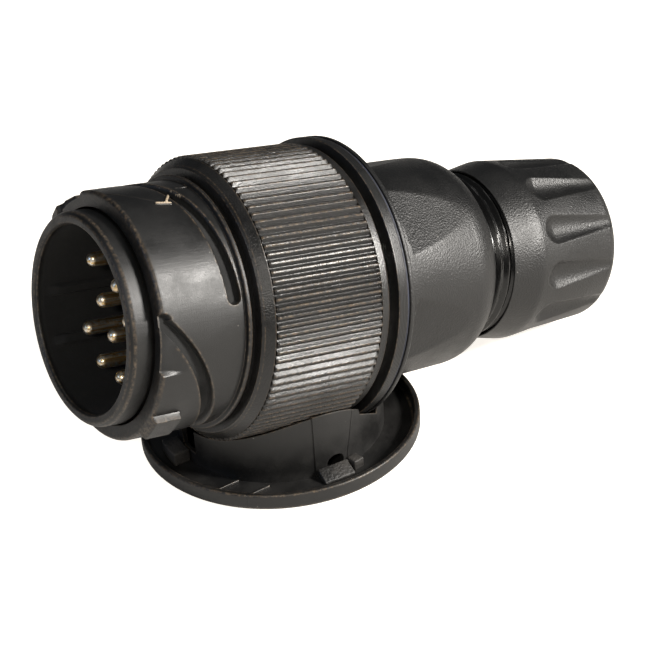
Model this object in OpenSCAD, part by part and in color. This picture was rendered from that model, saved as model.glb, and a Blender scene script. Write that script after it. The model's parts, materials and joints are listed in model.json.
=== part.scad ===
// Thirteen-pole trailer plug lying across its own dish-shaped parking cap.
// The plug is drawn along its own axis: s = 0 at the front of the knurled ring, s grows
// towards the cable. on_plug() then lays it in the saddle of the cap, nose up.
// +X points to the cable end, +Z up, origin at the centre of the cap's underside.

/* [Coupling ring] */
// Radius over the knurl
ring_r = 26.5; // [24:0.5:30]
// Length of the knurled band
knurl_len = 22.5; // [16:0.5:24]
// Number of knurl ridges
knurl_count = 104; // [60:4:120]
// Depth of the knurl
knurl_depth = 0.6; // [0.3:0.1:0.9]

/* [Nose] */
// Radius of the mouth
mouth_r = 17; // [15:0.5:17]
// Outer radius of the lip tube
lip_r = 19.3; // [19:0.1:19.4]
// How far the lip stands in front of the ring
lip_reach = 24.9; // [22:0.1:28]
// Outer radius of the grooved sleeve
sleeve_r = 22.5; // [22.2:0.1:23]
// How far the sleeve stands in front of the ring
sleeve_reach = 20.6; // [16:0.1:21]
// Width of a coupling groove
groove_w = 2.2; // [1:0.1:2.4]
// Depth of a coupling groove
groove_depth = 1.4; // [0.5:0.1:1.5]
// Turn of the ring that takes a lug along its groove, degrees
groove_sweep = 115; // [60:5:118]

/* [Contacts] */
// Radius of a contact pin
pin_r = 1.35; // [1:0.05:1.6]
// Radius of the outer circle of contacts
outer_pitch_r = 11.6; // [10:0.1:12]
// Radius of the inner circle of contacts
inner_pitch_r = 4.9; // [4.6:0.1:6]
// Tip of the pins, behind the lip
pin_recess = 6.3; // [3:0.1:10]

/* [Rear] */
// Radius of the flange between ring and housing
flange_r = 27.3; // [26.6:0.1:29]
// Radius of the rear housing at its collar
housing_r = 21.5; // [21:0.1:22.5]
// Crest radius of the thread on the gland body
neck_r = 16.6; // [16:0.1:17]
// Pitch of the gland thread
neck_pitch = 2; // [1:0.25:2.5]
// Greatest radius of the gland nut
nut_r = 18.3; // [17.8:0.1:19]
// Number of grip flutes round the gland nut
flute_count = 12; // [6:1:14]
// Radius of the cable hole
cable_r = 7; // [4:0.5:8]

/* [Parking cap] */
// Radius of the cap
cap_r = 27.5; // [25:0.5:32]
// Height of the rim of the cap
cap_rim_h = 3.3; // [2.5:0.1:5]
// Thickness of the floor of the cap
cap_floor_t = 1.2; // [0.8:0.1:2]
// Outer radius of the cradle wall
cradle_r = 20.4; // [20.1:0.1:20.5]
// Thickness of the cradle wall
cradle_wall = 0.95; // [0.7:0.05:1]

/* [Lie of the plug] */
// Tilt of the plug, nose up, degrees
tilt = 11.5; // [0:0.5:15]

/* [Hidden] */
$fn = 96;
eps = 0.01;

BLACK = "#1d1d1f";
GRAPHITE = "#2b2b2d";
RUBBER = "#141416";
BRASS = "#b99a55";
NICKEL = "#c9cbd0";
STEEL = "#9a9da3";

// Stations along the plug
ring_nose = -2.2;                       // front of the smooth band before the knurl
bead_s = -4.2;                          // front of the bead round the sleeve
bead_r = 23.4;
ring_tail = knurl_len + 1.6;            // rear face of the ring
flange_s = ring_tail + 1.3;             // front face of the flange
gasket_s = flange_s + 2;
housing_s = gasket_s + 0.6;             // front face of the rear housing
housing_lip_t = 0.9;
flats_s = 34;                           // where the spanner flats begin
shoulder_s = 49.5;                      // where the housing starts to round over
housing_end = 55.6;
nut_s = 61.5;                           // front of the nut as the plug lies
nut_band_end = 68.1;                    // end of the textured band round the nut
nut_round_s = 86.9;                     // where the nut starts to round over
nut_end = 89.6;
spigot_r = 19;                          // threaded spigot that carries the rear housing
spigot_end = 42;
groove_end_s = -5.2;                    // station that each coupling groove closes in on
lead_depth = 1.1;                       // ramp in front of each groove
lead_len = 5;
lead_sweep = 26;
wing_r = 23.8;
wing_tail = -15.2;
wing_sweep = 16;
run_gap = 0.1;                          // radial running clearance
bearing_r = 19.2;                       // radius of the lip tube where the sleeve turns on it
lip_neck_r = 18.9;                      // radius of the lip tube under the front of the sleeve
clip_s = -9.2;                          // front of the groove for the circlip

// Tapers
housing_tail_r = 20.8;                  // housing radius at its shoulder
housing_end_r = 17.4;
nut_tail_r = 16.8;
nut_end_r = 14.6;
neck_tail_r = 14.4;                     // neck behind its thread, inside the nut

// Contacts, as [radius, angle]: ten seats at 36 degrees on the outer circle, two of them blank, and four
// on an inner circle that sits a little high
outer_angles = [54, 126, 162, 198, 234, 270, 306, 342];
inner_rise = 0.6;
outer_seats = [for (a = outer_angles) [outer_pitch_r, a]];
inner_seats = [for (a = [0, 90, 180, 270])
    let (up = inner_pitch_r * cos(a) + inner_rise, across = inner_pitch_r * sin(a))
    [norm([up, across]), atan2(across, up)]];
all_seats = concat(outer_seats, inner_seats);
carrier_t = 12;
shank_r = pin_r + 0.2;                  // radius of a pin where the carrier holds it
barrel_r = 2.1;
barrel_len = 11;

// Lie of the plug on the cap and on its own nut
pivot_s = 15.2;                         // station that hangs over the centre of the cap
rest_gap = 0.9;                         // room for the nut to back off above the table
axis_h = (nut_round_s - pivot_s) * sin(tilt) + nut_tail_r * cos(tilt) + rest_gap;
saddle_gap = 0.3;
housing_travel = 2.25;                  // how far the housing backs off when it is unscrewed

module on_plug() translate([0, 0, axis_h]) rotate([0, tilt, 0]) translate([-pivot_s, 0, 0]) children();

// Turns a profile of [s, r] points round the plug's axis
module lathe(points) rotate([0, 90, 0]) rotate_extrude() polygon([for (p = points) [p[1], p[0]]]);

// Tube from station a to station b
module tube(a, b, r_out, r_in) lathe([[a, r_in], [a, r_out], [b, r_out], [b, r_in]]);

// Places children at angle a round the plug's axis, radius r: 0 is up, 90 is +Y
module around(a, r = 0) rotate([-a, 0, 0]) translate([0, 0, r]) children();

// Solid cylinder along the plug's axis
module rod(a, b, r) translate([a, 0, 0]) rotate([0, 90, 0]) cylinder(h = b - a, r = r);

// Points of a quarter-ellipse that rounds a shoulder from [s0, r0] down to [s1, r1]
function shoulder(s0, r0, s1, r1, steps = 6) =
    [for (i = [0:steps]) [s0 + (s1 - s0) * sin(90 * i / steps), r1 + (r0 - r1) * cos(90 * i / steps)]];

// ---------------------------------------------------------------- parking cap

module arc_wall(r_out, r_in, z0, z1, a0, a1)
    translate([0, 0, z0]) rotate([0, 0, a0]) rotate_extrude(angle = a1 - a0)
        translate([r_in, 0]) square([r_out - r_in, z1 - z0]);

module cap_dish() color(GRAPHITE) {
    rim_t = 1.1;
    rotate_extrude() polygon([[0, 0], [cap_r - 0.5, 0], [cap_r, 0.5], [cap_r, cap_rim_h - 0.3],
                              [cap_r - 0.3, cap_rim_h], [cap_r - rim_t, cap_rim_h],
                              [cap_r - rim_t - 0.3, cap_floor_t], [0, cap_floor_t]]);
    // stops round the cradle, where the sleeve seats when the cap is pushed home
    for (a = [165, 82, -8]) arc_wall(cradle_r + 3.6, cradle_r + 0.2, cap_floor_t - eps, 3.9, a, a + 15);
    arc_wall(cradle_r + 2.6, cradle_r + 0.3, cap_floor_t - eps, 3.2, -85.5, -79.5);
    latch_ramp();
    // two ribs that guide the lanyard out under the rim
    for (y = [-12.2, -17.4])
        translate([-sqrt(pow(cap_r - rim_t, 2) - y * y), y, cap_floor_t - eps]) cube([6.2, 0.5, 0.6]);
}

// Sloping block in front of the latch tongue
module latch_ramp()
    rotate([0, 0, -94.5]) translate([cradle_r + 0.25, 0, cap_floor_t - eps]) rotate([90, 0, 0])
        linear_extrude(6.4, center = true) polygon([[0, 0], [3, 0], [3, 0.5], [0, 1.9]]);

// Body that the plug takes up, swollen by the saddle gap
module plug_envelope() {
    g = saddle_gap;
    lip_reach_s = housing_s + housing_lip_t + housing_travel + g;
    on_plug() lathe([[-sleeve_reach - 9, 0], [-sleeve_reach - 9, sleeve_r + g], [bead_s - g, sleeve_r + g],
                     [bead_s - g, bead_r + g], [ring_nose - g, bead_r + g],
                     [ring_nose - g, 24.7 + g], [-g, ring_r + g],
                     [flange_s - g, ring_r + g], [flange_s - g, flange_r + g],
                     [lip_reach_s, flange_r + g], [lip_reach_s, housing_r + 0.5 + g],
                     [lip_reach_s + 0.6, housing_r + g],
                     [nut_s, housing_r + g], [nut_s, 0]]);
}

tongue_from = -104;
slit_az = -86;                          // where the tongue's slit meets the floor
slit_w = 0.32;

// Everything on one side of the slit, which runs square to the plug
module slit_side(from, to)
    rotate([0, 0, slit_az]) translate([cradle_r - 5, 0, cap_floor_t]) rotate([-tilt, 0, 0])
        translate([0, from, -2]) cube([10, to - from, 24]);

module cap_cradle() color(GRAPHITE) difference() {
    arc_wall(cradle_r, cradle_r - cradle_wall, cap_floor_t, 18, slit_az - 3, tongue_from + 360);
    slit_side(-6, slit_w / 2);
    plug_envelope();
    // notch at the front, where the nose lug passes
    rotate([0, 0, 178.5]) translate([cradle_r - 0.5, 0, 3.6]) translate([-2, -2.4, 0]) cube([4, 4.8, 20]);
}

module cap_latch_tongue() color(GRAPHITE) difference() {
    arc_wall(cradle_r + 0.2, cradle_r - cradle_wall + 0.2, cap_floor_t, 18, tongue_from, slit_az + 16);
    slit_side(-slit_w / 2, 10);
    plug_envelope();
    // window over the ramp
    rotate([0, 0, -93]) translate([cradle_r, 0, 3.3]) rotate([0, 90, 0]) cylinder(h = 6, r = 1.6, center = true);
}

// ---------------------------------------------------------------- contact housing and contacts

module contact_housing() color(BLACK) on_plug() {
    difference() {
        lathe([[-lip_reach + 0.5, mouth_r], [-lip_reach, mouth_r + 0.5], [-lip_reach, lip_r - 0.6],
               [-lip_reach + 0.6, lip_r], [-sleeve_reach - 0.3, lip_r], [-sleeve_reach - 0.3, lip_neck_r],
               [clip_s, lip_neck_r], [clip_s, bearing_r], [flange_s, bearing_r],
               [flange_s, flange_r - 0.3], [flange_s + 0.3, flange_r],
               [gasket_s, flange_r], [gasket_s, spigot_r], [spigot_end, spigot_r], [spigot_end, 16.6],
               [carrier_t + 3, 16.6], [carrier_t + 3, 15.4], [carrier_t, 15.4], [carrier_t, mouth_r]]);
        tube(clip_s, clip_s + 0.7, lip_r + 1, bearing_r - 0.7);
        tube(14, 15.8, bearing_r + 1, bearing_r - 1.1);
        tube(housing_s + 1.2, housing_s + 3, spigot_r + 1, spigot_r - 1);
    }
    // coding ribs inside the mouth
    for (a = [96, 128])
        around(a, mouth_r - 0.6) translate([-lip_reach + 3, -1.1, 0]) cube([lip_reach - 3, 2.2, 0.9]);
}

module contact_carrier() color(RUBBER) on_plug() difference() {
    rod(0, carrier_t, mouth_r);
    for (seat = all_seats) around(seat[1], seat[0]) rod(-1, carrier_t + 1, shank_r);
    // blank seat
    around(90, outer_pitch_r) rod(-1, 3, pin_r);
}

// Round-nosed pin on a thicker shank
module contact_pin() {
    tip = -lip_reach + pin_recess;
    lathe(concat([[tip, 0]], [for (i = [1:6]) [tip + pin_r * (1 - cos(15 * i)), pin_r * sin(15 * i)]],
                 [[0, pin_r], [0, shank_r], [carrier_t, shank_r], [carrier_t, 0]]));
}

module pins(seats) color(NICKEL) on_plug() for (seat = seats) around(seat[1], seat[0]) contact_pin();

module outer_contact_pins() pins(outer_seats);

module inner_contact_pins() pins(inner_seats);

// Screw clamps behind the carrier, one for each contact
module terminal_barrels() color(BRASS) on_plug() for (seat = all_seats) around(seat[1], seat[0]) difference() {
    rod(carrier_t, carrier_t + barrel_len, barrel_r);
    rod(carrier_t + 3, carrier_t + barrel_len + 1, 1.35);
    translate([carrier_t + 7.5, 0, 0.5]) cylinder(h = 3, r = 0.8);
}

module terminal_screws() color(STEEL) on_plug() for (seat = all_seats)
    around(seat[1], seat[0]) translate([carrier_t + 7.5, 0, 0.6]) difference() {
        cylinder(h = 2.1, r = 0.8);
        translate([-1, -0.15, 1.7]) cube([2, 0.3, 1]);
    }

module mouth_seal() color(RUBBER) on_plug() tube(-1.5, 0, mouth_r - 0.8, mouth_r - 3.2);

module sleeve_o_ring() color(RUBBER) on_plug() rotate([0, 90, 0]) rotate_extrude()
    translate([bearing_r - 0.55, 14.9]) circle(r = 0.54, $fn = 24);

module sleeve_circlip() color(STEEL) on_plug() difference() {
    tube(clip_s + 0.1, clip_s + 0.6, bearing_r + 1.2, bearing_r - 0.65);
    around(180, 0) translate([-10, -1.5, 0]) cube([2, 3, 30]);
}

module wave_spring() color(STEEL) on_plug() tube(flange_s - 0.9, flange_s, 24.4, bearing_r + 0.3);

module flange_gasket() color("#26303f") on_plug() tube(gasket_s, housing_s, flange_r - 0.2, spigot_r + run_gap);

// ---------------------------------------------------------------- coupling ring

// Station of a groove after it has turned through angle t from its mouth
function groove_s(t) = groove_end_s - (sleeve_reach + groove_end_s) * exp(-t / 38);

// Straight cut from one point of a groove to the next
module groove_cut(t0, t1) {
    s0 = groove_s(t0);
    s1 = groove_s(t1);
    arc = sleeve_r * (t1 - t0) * PI / 180;
    run = sqrt(arc * arc + (s1 - s0) * (s1 - s0));
    around(-(t0 + t1) / 2, sleeve_r - groove_depth) translate([(s0 + s1) / 2, 0, 0])
        rotate([0, 0, atan2(-arc, s1 - s0)]) translate([-run / 2 - 0.3, -groove_w / 2, 0])
            cube([run + 0.6, groove_w, 3]);
}

module groove() {
    steps = 11;
    around(0, sleeve_r - groove_depth) translate([-sleeve_reach - 1, -groove_w / 2, 0]) cube([1.6, groove_w, 3]);
    for (i = [0:steps - 1]) groove_cut(groove_sweep * i / steps, groove_sweep * (i + 1) / steps);
    // pocket that holds the lug at the end of its groove
    around(-groove_sweep, sleeve_r - groove_depth) translate([groove_s(groove_sweep) - 0.5, 0, 0])
        cylinder(h = 3, r = groove_w / 2 + 0.25, $fn = 32);
}

// Turns a profile of [s, r] points through part of a turn, from angle a to angle b
module lathe_arc(points, a, b)
    rotate([0, 90, 0]) rotate([0, 0, 180 - b]) rotate_extrude(angle = b - a)
        polygon([for (p = points) [p[1], p[0]]]);

// Ramp in the front edge that leads a socket lug into its groove
module lead_in(a)
    lathe_arc([[-sleeve_reach - 1, sleeve_r - lead_depth], [-sleeve_reach - 1, sleeve_r + 1],
               [-sleeve_reach + lead_len, sleeve_r + 1], [-sleeve_reach + lead_len, sleeve_r - eps],
               [-sleeve_reach, sleeve_r - lead_depth]], a - lead_sweep, a);

// Low wing near the front of the sleeve, for the fingers
module wing(a)
    lathe_arc([[-sleeve_reach + 0.1, 21], [-sleeve_reach + 0.1, wing_r - 0.5], [-sleeve_reach + 0.6, wing_r],
               [wing_tail, wing_r], [wing_tail + 0.7, sleeve_r - 0.1], [wing_tail + 0.7, 21]],
              a - wing_sweep / 2, a + wing_sweep / 2);

module coupling_sleeve() color(BLACK) on_plug() {
    front_bore = lip_r + 0.3;
    clip_bore = bearing_r + 1.4;
    difference() {
        lathe([[-sleeve_reach, front_bore], [-sleeve_reach, sleeve_r - 0.8],
               [-sleeve_reach + 0.25, sleeve_r - 0.25], [-sleeve_reach + 0.8, sleeve_r], [bead_s, sleeve_r],
               [bead_s + 0.2, bead_r], [ring_nose - 1.2, bead_r], [ring_nose - 1, sleeve_r],
               [22, sleeve_r], [22, bearing_r + run_gap], [-8, bearing_r + run_gap],
               [-8, clip_bore], [clip_s - 0.6, clip_bore], [clip_s - 0.6, front_bore]]);
        for (a = [-69, 51, 171]) {
            around(a) groove();
            lead_in(a);
        }
    }
    for (a = [-126, 54]) wing(a);
    alignment_mark();
}

// Slanting bar on a foot, raised on the sleeve
module alignment_mark() {
    width = 0.6;
    height = 0.5;
    around(-6, sleeve_r - 0.15) translate([-9.75, 0, 0]) rotate([0, 0, 52])
        translate([-2.2, -width / 2, 0]) cube([4.6, width, height]);
    around(-11.5, sleeve_r - 0.15) translate([-12, 0, 0]) rotate([0, 0, -12])
        translate([-1.3, -width / 2, 0]) cube([2.6, width, height]);
}

// Outline of the knurl, a ridge to each tooth
module knurl_outline() {
    step = 360 / knurl_count;
    valley_r = ring_r - knurl_depth;
    polygon([for (i = [0:knurl_count - 1]) each [
        valley_r * [cos(step * i), sin(step * i)],
        ring_r * [cos(step * (i + 0.38)), sin(step * (i + 0.38))],
        ring_r * [cos(step * (i + 0.54)), sin(step * (i + 0.54))],
        valley_r * [cos(step * (i + 0.92)), sin(step * (i + 0.92))]]]);
}

module knurled_ring() color(GRAPHITE) on_plug() {
    tail_r = ring_r - 0.3;
    difference() {
        rotate([0, 90, 0]) linear_extrude(knurl_len) knurl_outline();
        rod(-1, knurl_len + 1, sleeve_r);
    }
    lathe([[ring_nose, sleeve_r], [ring_nose, 24.4], [ring_nose + 0.4, 24.8], [-0.1, ring_r - 0.5],
           [0, ring_r - knurl_depth], [0, sleeve_r]]);
    lathe([[knurl_len, sleeve_r], [knurl_len, tail_r], [ring_tail - 0.4, tail_r], [ring_tail, tail_r - 0.4],
           [ring_tail, sleeve_r - 1.2], [22.1, sleeve_r - 1.2], [22.1, sleeve_r]]);
}

// ---------------------------------------------------------------- rear housing and cable gland

module rear_housing() color(GRAPHITE) on_plug() difference() {
    flat_half = 19.2;                   // half the angle that a flat covers at its front
    flat_rise = 2;
    lathe(concat([[housing_s, spigot_r + run_gap], [housing_s, flange_r - 0.3], [housing_s + 0.3, flange_r],
                  [housing_s + housing_lip_t, flange_r - 0.3], [housing_s + housing_lip_t, housing_r + 0.5],
                  [housing_s + housing_lip_t + 0.5, housing_r], [flats_s, housing_r]],
                 shoulder(shoulder_s, housing_tail_r, housing_end, housing_end_r),
                 [[housing_end, 15.6], [52, 15.6], [52, 16.4], [spigot_end + 5, 17.6],
                  [spigot_end + 1, spigot_r + run_gap]]));
    // six spanner flats that run out towards the shoulder
    for (i = [0:5]) around(20 + 60 * i, housing_r * cos(flat_half))
        translate([flats_s, -15, 0]) rotate([0, -flat_rise, 0]) cube([20, 30, 6]);
}

module housing_o_ring() color(RUBBER) on_plug() rotate([0, 90, 0]) rotate_extrude()
    translate([spigot_r - 0.46, housing_s + 2.1]) circle(r = 0.5, $fn = 24);

// Ring pressed into the spigot, with the lower half of the strain relief
module cable_clamp_yoke() color(BLACK) on_plug() {
    tube(spigot_end - 4, spigot_end, 16.6, 14.4);
    for (side = [-1, 1]) translate([spigot_end - 0.5, side * 13 - 2, -3.5]) cube([6, 4, 3.5]);
    difference() {
        translate([spigot_end + 1, -11.5, -8]) cube([4.5, 23, 8]);
        rod(spigot_end, spigot_end + 7, cable_r);
        for (side = [-1, 1]) translate([spigot_end + 3.25, side * 9.5, -7]) cylinder(h = 9, r = 1.3);
    }
}

module cable_clamp_bridge() color(NICKEL) on_plug() difference() {
    translate([spigot_end + 1, -11.8, 0.6]) cube([4.5, 23.6, 9]);
    rod(spigot_end, spigot_end + 7, cable_r);
    for (side = [-1, 1]) {
        translate([spigot_end + 3.25, side * 9.5, 0]) cylinder(h = 12, r = 1.3);
        translate([spigot_end, side * 17.5 - 10, 3]) cube([7, 20, 8]);
    }
}

module cable_clamp_screws() color(STEEL) on_plug() for (side = [-1, 1])
    translate([spigot_end + 3.25, side * 9.5, 0]) difference() {
        union() {
            translate([0, 0, -6.5]) cylinder(h = 9.6, r = 1.3);
            translate([0, 0, 3]) cylinder(h = 1.8, r = 1.9);
        }
        translate([-3, -0.25, 4.1]) cube([6, 0.5, 2]);
    }

// Threaded neck, screwed into the housing from behind
module gland_body() color(BLACK) on_plug() {
    root = neck_r - 0.8;
    turns = 5;
    front = housing_end + 0.3;
    lathe(concat([[52.1, 9], [52.1, 15.6], [housing_end, 15.6], [housing_end, root]],
                 [for (i = [0:turns - 1]) each [[front + neck_pitch * i, root],
                                                [front + neck_pitch * (i + 0.42), neck_r],
                                                [front + neck_pitch * (i + 0.58), neck_r]]],
                 [[front + neck_pitch * turns, root], [front + neck_pitch * turns + 0.6, neck_tail_r],
                  [72.4, neck_tail_r], [72.4, 13], [58, 13], [58, 9]]));
}

module gland_seal() color(RUBBER) on_plug() difference() {
    tube(58, 69.5, 13, cable_r);
    tube(61, 61.6, 14, 12.4);
    tube(65, 65.6, 14, 12.4);
}

// Ring of fingers that the nut closes on the cable
module clamping_collet() color(BLACK) on_plug() difference() {
    lathe([[69.5, cable_r + 0.2], [69.5, 12.8], [71.5, 12.8], [74.2, 11], [74.2, cable_r + 0.2]]);
    for (i = [0:7]) around(45 * i) translate([70.7, -0.5, 0]) cube([5, 1, 14]);
}

module thrust_washer() color(STEEL) on_plug() tube(78.7, 79.9, 14.6, cable_r + 1);

// Teardrop flute, deep at the front and fading out behind
module flute() {
    front_r = 4.2;
    tail_r = 2;
    len = 16;
    nose = [for (i = [0:5]) [front_r * sin(16 * i), -front_r * cos(16 * i)]];
    translate([nut_band_end + 4.6, 0, nut_r + 2.4]) rotate([0, 98.4, 0]) rotate_extrude()
        polygon(concat(nose, [[front_r, 0.8], [tail_r, len], [0, len]]));
}

module gland_nut() color(GRAPHITE) on_plug() difference() {
    lathe(concat([[nut_s, neck_r + run_gap], [nut_s, nut_r - 1.3], [nut_s + 0.5, nut_r - 1],
                  [nut_band_end, nut_r]],
                 shoulder(nut_round_s, nut_tail_r, nut_end, nut_end_r),
                 [[nut_end, cable_r + 2.2], [nut_end - 3, cable_r + 0.6], [80, cable_r + 0.6], [80, 14.8],
                  [71.2, 14.8], [70.8, neck_r + run_gap]]));
    for (i = [0:flute_count - 1]) around(-27 + 360 / flute_count * i) flute();
}

cap_dish();
cap_cradle();
cap_latch_tongue();
contact_housing();
contact_carrier();
outer_contact_pins();
inner_contact_pins();
terminal_barrels();
terminal_screws();
mouth_seal();
sleeve_o_ring();
sleeve_circlip();
wave_spring();
coupling_sleeve();
knurled_ring();
flange_gasket();
rear_housing();
housing_o_ring();
cable_clamp_yoke();
cable_clamp_bridge();
cable_clamp_screws();
gland_body();
gland_seal();
clamping_collet();
thrust_washer();
gland_nut();
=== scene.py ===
"""Looks for a thirteen-pole trailer plug that lies across its own parking cap.

Lengths are millimetres and angles degrees until a mesh is made; Blender gets metres.
Plug pieces are laid out along the plug's own axis: s is the station behind the front of the knurl, r the
radius, and angle 0 is up, 90 is +Y. Cap pieces are laid out round the cap's upright axis.
"""

import json
import math

import bmesh
import bpy
import numpy as np
from mathutils import Matrix, Vector


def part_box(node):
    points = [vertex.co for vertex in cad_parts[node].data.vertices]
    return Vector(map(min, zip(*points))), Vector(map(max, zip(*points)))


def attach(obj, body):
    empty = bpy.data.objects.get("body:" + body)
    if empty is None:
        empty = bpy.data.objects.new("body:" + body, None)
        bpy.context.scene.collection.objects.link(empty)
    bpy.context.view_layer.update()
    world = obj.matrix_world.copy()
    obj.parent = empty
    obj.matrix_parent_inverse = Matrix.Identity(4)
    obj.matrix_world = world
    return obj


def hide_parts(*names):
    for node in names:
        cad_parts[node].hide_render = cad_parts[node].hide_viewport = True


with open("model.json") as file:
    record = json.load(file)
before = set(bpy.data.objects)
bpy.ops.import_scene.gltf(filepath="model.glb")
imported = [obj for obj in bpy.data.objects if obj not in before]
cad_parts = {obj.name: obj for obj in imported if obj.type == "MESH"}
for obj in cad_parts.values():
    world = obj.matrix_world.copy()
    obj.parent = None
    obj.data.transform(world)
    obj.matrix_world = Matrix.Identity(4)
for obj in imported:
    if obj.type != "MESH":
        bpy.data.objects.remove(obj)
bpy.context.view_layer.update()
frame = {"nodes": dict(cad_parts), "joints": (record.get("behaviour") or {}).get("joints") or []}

MM = 0.001

# ---------------------------------------------------------------- the plug's own axes


def unit(v):
    v = np.asarray(v, float)
    return v / np.linalg.norm(v)


RING_LIP = 2.2  # how far the ring's smooth lip stands in front of its knurl
ring_joint = next(j for j in frame["joints"] if j["name"] == "ring_turn")
AXIS = -unit(ring_joint["axis"])
SIDE = np.array([0.0, 1.0, 0.0])
UP = np.cross(AXIS, SIDE)
PIVOT = np.array(ring_joint["pos_m"]) / MM
TILT = math.degrees(math.atan2(-AXIS[2], AXIS[0]))


def cad_points(node):
    return np.array([v.co for v in frame["nodes"][node].data.vertices]) / MM


KNURL_FRONT = PIVOT + AXIS * (((cad_points("knurled_ring") - PIVOT) @ AXIS).min() + RING_LIP)


def on_plug(s, r, deg):
    """World points, in metres, of plug coordinates."""
    a = np.radians(deg)
    s, across, up = (np.asarray(v)[..., None] for v in (s, r * np.sin(a), r * np.cos(a)))
    return (KNURL_FRONT + s * AXIS + up * UP + across * SIDE) * MM


cap_low, cap_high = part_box("cap_dish")
CAP_CENTRE = np.array([(cap_low[0] + cap_high[0]) / 2, (cap_low[1] + cap_high[1]) / 2, cap_low[2]]) / MM
CAP_R = (cap_high[1] - cap_low[1]) / 2 / MM


def on_cap(r, z, deg):
    """World points, in metres, of cap coordinates: radius, height and angle from +X towards +Y."""
    a = np.radians(deg)
    x = CAP_CENTRE[0] + r * np.cos(a)
    y = CAP_CENTRE[1] + r * np.sin(a)
    return np.stack([x, y, CAP_CENTRE[2] + z + 0 * a], -1) * MM


# ---------------------------------------------------------------- outlines and grids

SUPPORT = 0.07  # extra point beside each rounded corner, so that flat stretches shade flat


def rounded(corners, steps=4, closed=True):
    """Outline through (a, b, radius) corners, each rounded by its radius. Gives points and an edge weight,
    which is 1 at the middle of a rounded corner; it later tints the edge, part scuffing and part painted
    highlight."""
    points, wear_and_painted_light = [], []
    count = len(corners)
    for i, (a, b, radius) in enumerate(corners):
        here = np.array([a, b], float)
        inner = closed or 0 < i < count - 1
        if radius <= 0 or not inner:
            points.append(here)
            wear_and_painted_light.append(0.0)
            continue
        back = np.array(corners[i - 1][:2], float) - here
        ahead = np.array(corners[(i + 1) % count][:2], float) - here
        reach = min(radius, 0.42 * np.linalg.norm(back), 0.42 * np.linalg.norm(ahead))
        back, ahead = unit(back), unit(ahead)
        if reach > 2 * SUPPORT:
            points.append(here + back * (reach + SUPPORT))
            wear_and_painted_light.append(0.0)
        for k in range(steps + 1):
            t = k / steps
            points.append(here + back * reach * (1 - t) ** 2 + ahead * reach * t**2)
            wear_and_painted_light.append(math.sin(math.pi * t))
        if reach > 2 * SUPPORT:
            points.append(here + ahead * (reach + SUPPORT))
            wear_and_painted_light.append(0.0)
    return np.array(points), np.array(wear_and_painted_light)


def filled(outline, step, closed=True):
    """Adds points to an outline so that no gap is longer than step, which may depend on the place."""
    points, wear_and_painted_light = outline
    size = step if callable(step) else lambda a, b: step
    out, out_wear_and_light = [], []
    last = len(points) if closed else len(points) - 1
    for i in range(last):
        j = (i + 1) % len(points)
        middle = (points[i] + points[j]) / 2
        parts = max(1, math.ceil(np.linalg.norm(points[j] - points[i]) / size(*middle)))
        for k in range(parts):
            t = k / parts
            out.append(points[i] * (1 - t) + points[j] * t)
            out_wear_and_light.append(wear_and_painted_light[i] * (1 - t) + wear_and_painted_light[j] * t)
    if not closed:
        out.append(points[-1])
        out_wear_and_light.append(wear_and_painted_light[-1])
    return np.array(out), np.array(out_wear_and_light)


def soft_min(a, b, width):
    """The lesser of a and b, rounded where they cross, and an edge weight for the crossing, used for scuffing
    and painted highlight.
    """
    h = np.clip(0.5 + 0.5 * (b - a) / width, 0, 1)
    return b * (1 - h) + a * h - width * h * (1 - h), 4 * h * (1 - h)


def smooth(x, start, end):
    t = np.clip((x - start) / (end - start), 0, 1)
    return t * t * (3 - 2 * t)


def wrapped(deg):
    return (np.asarray(deg) + 180) % 360 - 180


def grid_faces(rows, columns, close_rows, close_columns):
    i = np.arange(rows if close_rows else rows - 1)
    j = np.arange(columns if close_columns else columns - 1)
    i, j = np.meshgrid(i, j, indexing="ij")
    i2, j2 = (i + 1) % rows, (j + 1) % columns
    quads = np.stack([i * columns + j, i * columns + j2, i2 * columns + j2, i2 * columns + j], -1)
    return quads.reshape(-1, 4).tolist()


def outward(points, faces):
    """Flips every face if the closed mesh is inside out."""
    volume = 0.0
    for size in {len(f) for f in faces}:
        f = np.array([g for g in faces if len(g) == size])
        a = points[f[:, 0]]
        for k in range(1, size - 1):
            volume += np.einsum("ij,ij->", a, np.cross(points[f[:, k]], points[f[:, k + 1]]))
    return faces if volume > 0 else [f[::-1] for f in faces]


def new_piece(name, points, faces, body, nodes, material, wear_and_painted_light=None, sharp=34):
    points = np.asarray(points, float).reshape(-1, 3)
    mesh = bpy.data.meshes.new(name)
    mesh.from_pydata(points.tolist(), [], outward(points, faces))
    if wear_and_painted_light is not None:
        values = mesh.attributes.new("wear_and_painted_light", "FLOAT", "POINT").data
        values.foreach_set("value", np.asarray(wear_and_painted_light, np.float32).ravel())
    mesh.shade_smooth()
    mesh.set_sharp_from_angle(angle=math.radians(sharp))
    mesh.materials.append(material)
    piece = bpy.data.objects.new(name, mesh)
    bpy.context.scene.collection.objects.link(piece)
    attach(piece, body)
    if nodes:
        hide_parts(*nodes)
    return piece


def lathe_grid(outline, angles, place, shape=None):
    """Points, faces and colour weights of a closed outline turned round an axis. shape(a, b, deg) bends it.
    The weight runs from -1 in deep hollows, where shade is painted, through 0, to 1 on scuffed edges, which
    also get a painted highlight, and 2 on the raised mark, where a highlight is painted."""
    (a, b), wear_and_painted_light = outline[0].T, outline[1]
    deg = np.asarray(angles, float)[None, :]
    a, b, wear_and_painted_light = (np.repeat(v[:, None], deg.shape[1], 1) for v in (a, b, wear_and_painted_light))
    deg = np.repeat(deg, len(a), 0)
    if shape:
        a, b, deg, more = shape(a, b, deg)
        wear_and_painted_light = np.where(more < 0, more, np.maximum(wear_and_painted_light, more))
    points = place(a, b, deg)
    return points.reshape(-1, 3), grid_faces(*deg.shape, True, True), wear_and_painted_light.ravel()


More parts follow.
